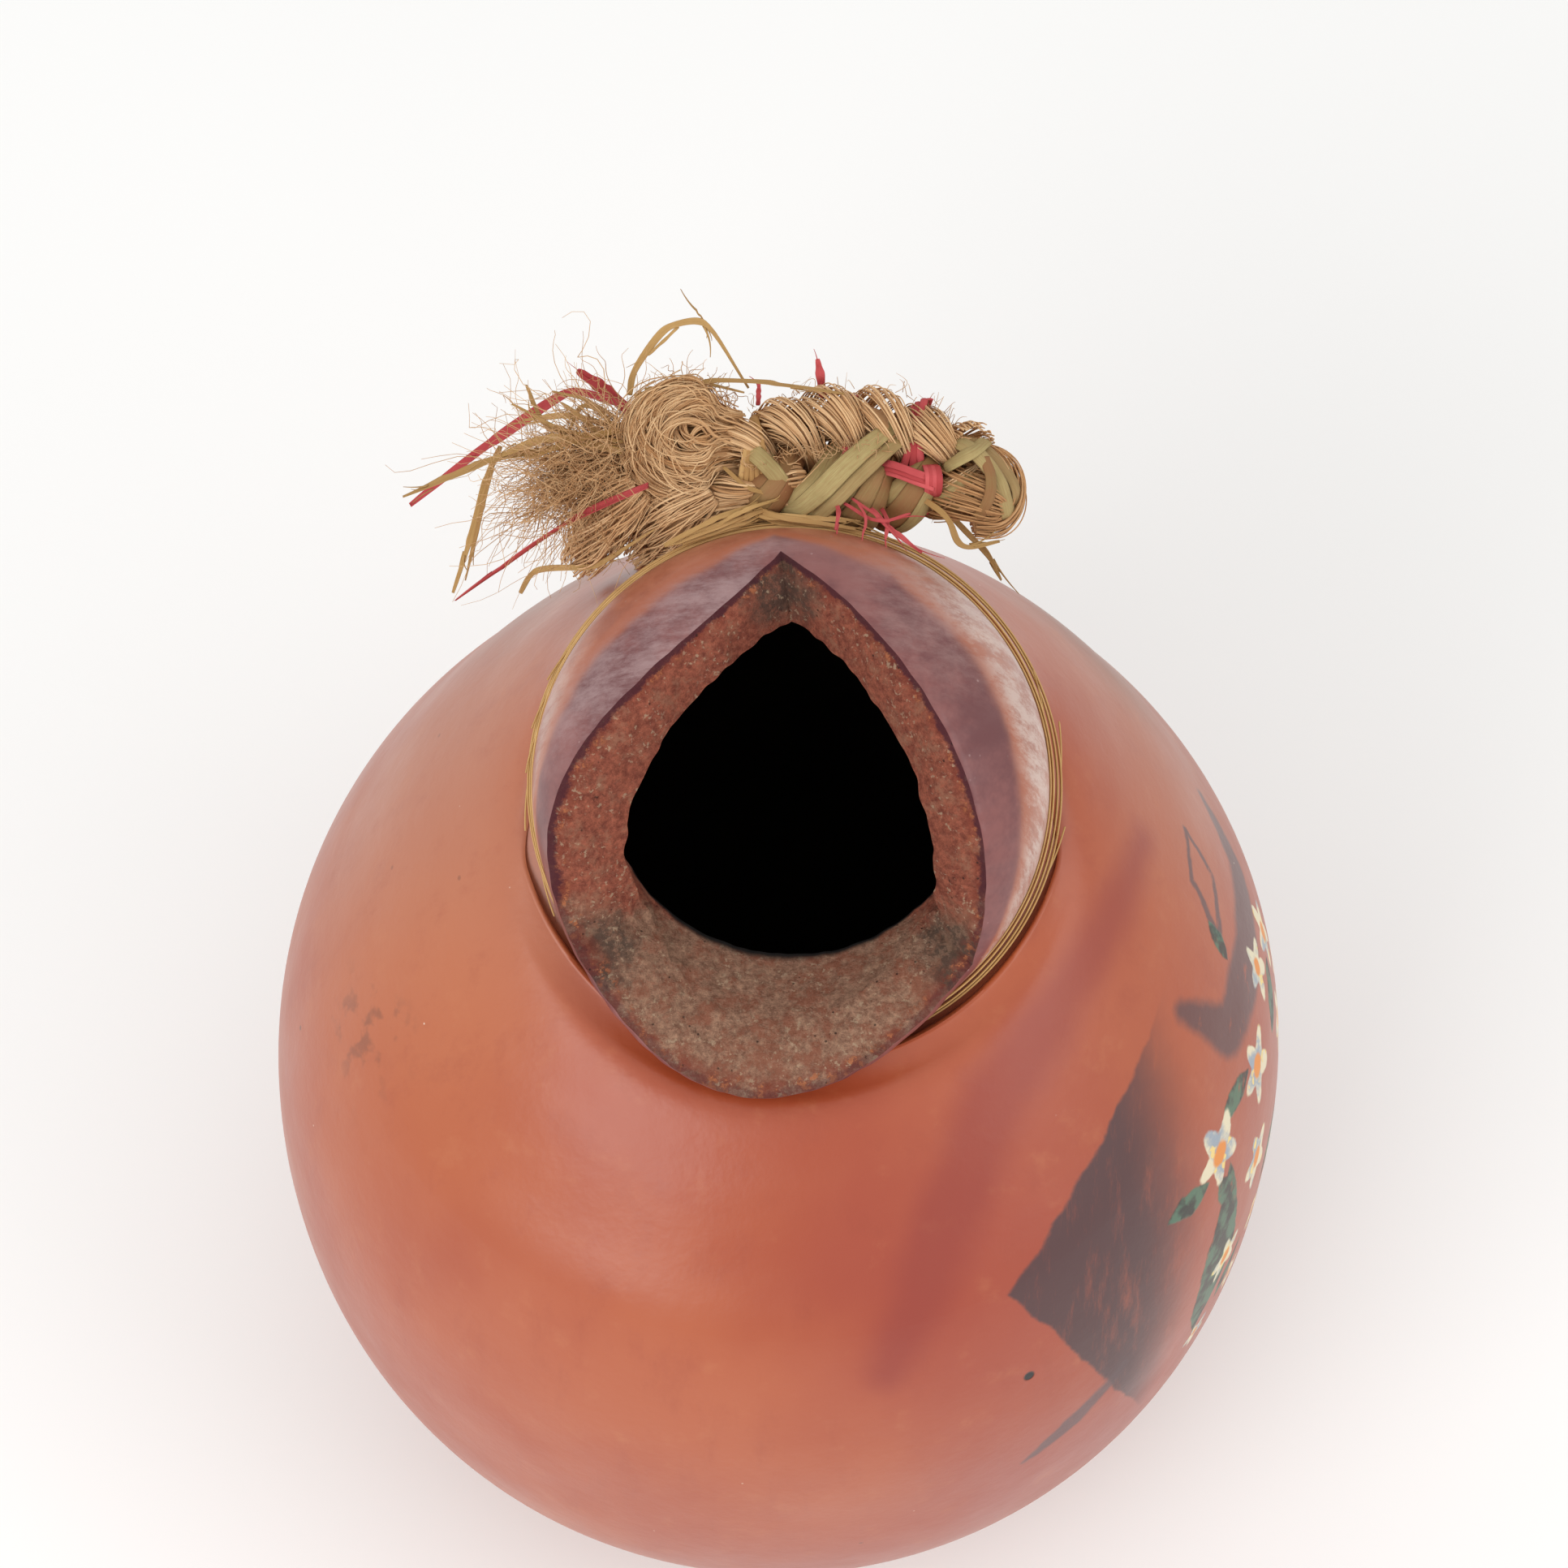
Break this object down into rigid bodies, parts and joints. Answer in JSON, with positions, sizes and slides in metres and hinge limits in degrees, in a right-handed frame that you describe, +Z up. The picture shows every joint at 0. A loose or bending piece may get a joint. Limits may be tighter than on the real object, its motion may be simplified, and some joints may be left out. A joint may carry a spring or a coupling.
{
  "type": "painted gourd",
  "caption": "Hollow painted bottle gourd with a leaning neck and a scalloped mouth, tied round the waist with a raffia band that carries a fibre plait with loose, frayed ends.",
  "frame": {"origin": "centre of the flat the gourd stands on", "axes": "+Z up through the body, -Y the way the neck and its mouth lean, +X to the right when seen from -Y"},
  "size_m": [0.21, 0.21, 0.2586],
  "materials": {
    "gourd": "satin lacquer over paint",
    "raffia": "matte dry leaf",
    "sisal": "matte fibre",
    "palm": "matte dry leaf",
    "straw": "matte dry leaf",
    "dyed_leaf": "matte dyed leaf"
  },
  "bodies": {
    "gourd": {"gourd_shell": "gourd"},
    "band": {"band_strip_upper": "raffia", "band_strip_lower": "raffia", "knot_strip_left": "raffia", "knot_strip_right": "raffia", "red_fray_left": "dyed_leaf", "red_fray_right": "dyed_leaf", "straw_end_inner": "straw"},
    "plait": {"plait_strand_a": "sisal", "plait_strand_b": "sisal", "plait_palm_strand": "palm", "red_wrap_inner": "dyed_leaf", "red_wrap_outer": "dyed_leaf", "knot_tie": "raffia", "red_spike": "dyed_leaf", "straw_bridge": "straw", "straw_end_outer": "straw", "shoulder_tuft_outer": "sisal", "shoulder_tuft_inner": "sisal", "straw_shoulder": "straw"},
    "plait_tip": {"plait_tip_fold": "sisal", "tip_palm_binding": "palm"},
    "hank": {"sisal_hank": "sisal", "frayed_tuft": "sisal", "red_end_long": "dyed_leaf", "red_end_stub": "dyed_leaf", "red_end_low": "dyed_leaf", "straw_loop_tall": "straw", "straw_tip_left": "straw", "straw_fan_upper": "straw", "straw_fan_lower": "straw", "straw_drop": "straw"}
  },
  "joints": [
    {"name": "band_turn", "type": "hinge", "parent": "gourd", "child": "band", "pos_m": [0.003, 0, 0.2185], "axis": [0, -0.5, 0.866], "range_deg": [-7, 7]},
    {"name": "plait_lift", "type": "hinge", "parent": "band", "child": "plait", "pos_m": [0.003, 0.0474, 0.2424], "axis": [1, 0, 0], "range_deg": [0, 35]},
    {"name": "tip_flex", "type": "hinge", "parent": "plait", "child": "plait_tip", "pos_m": [0.038, 0.0506, 0.2408], "axis": [0, -0.5, 0.866], "range_deg": [-10, 6], "stiffness_Nm_per_rad": 0.01},
    {"name": "hank_swing", "type": "hinge", "parent": "plait", "child": "hank", "pos_m": [-0.008, 0.0576, 0.2448], "axis": [0, -0.5, 0.866], "range_deg": [-10, 5], "stiffness_Nm_per_rad": 0.03}
  ]
}
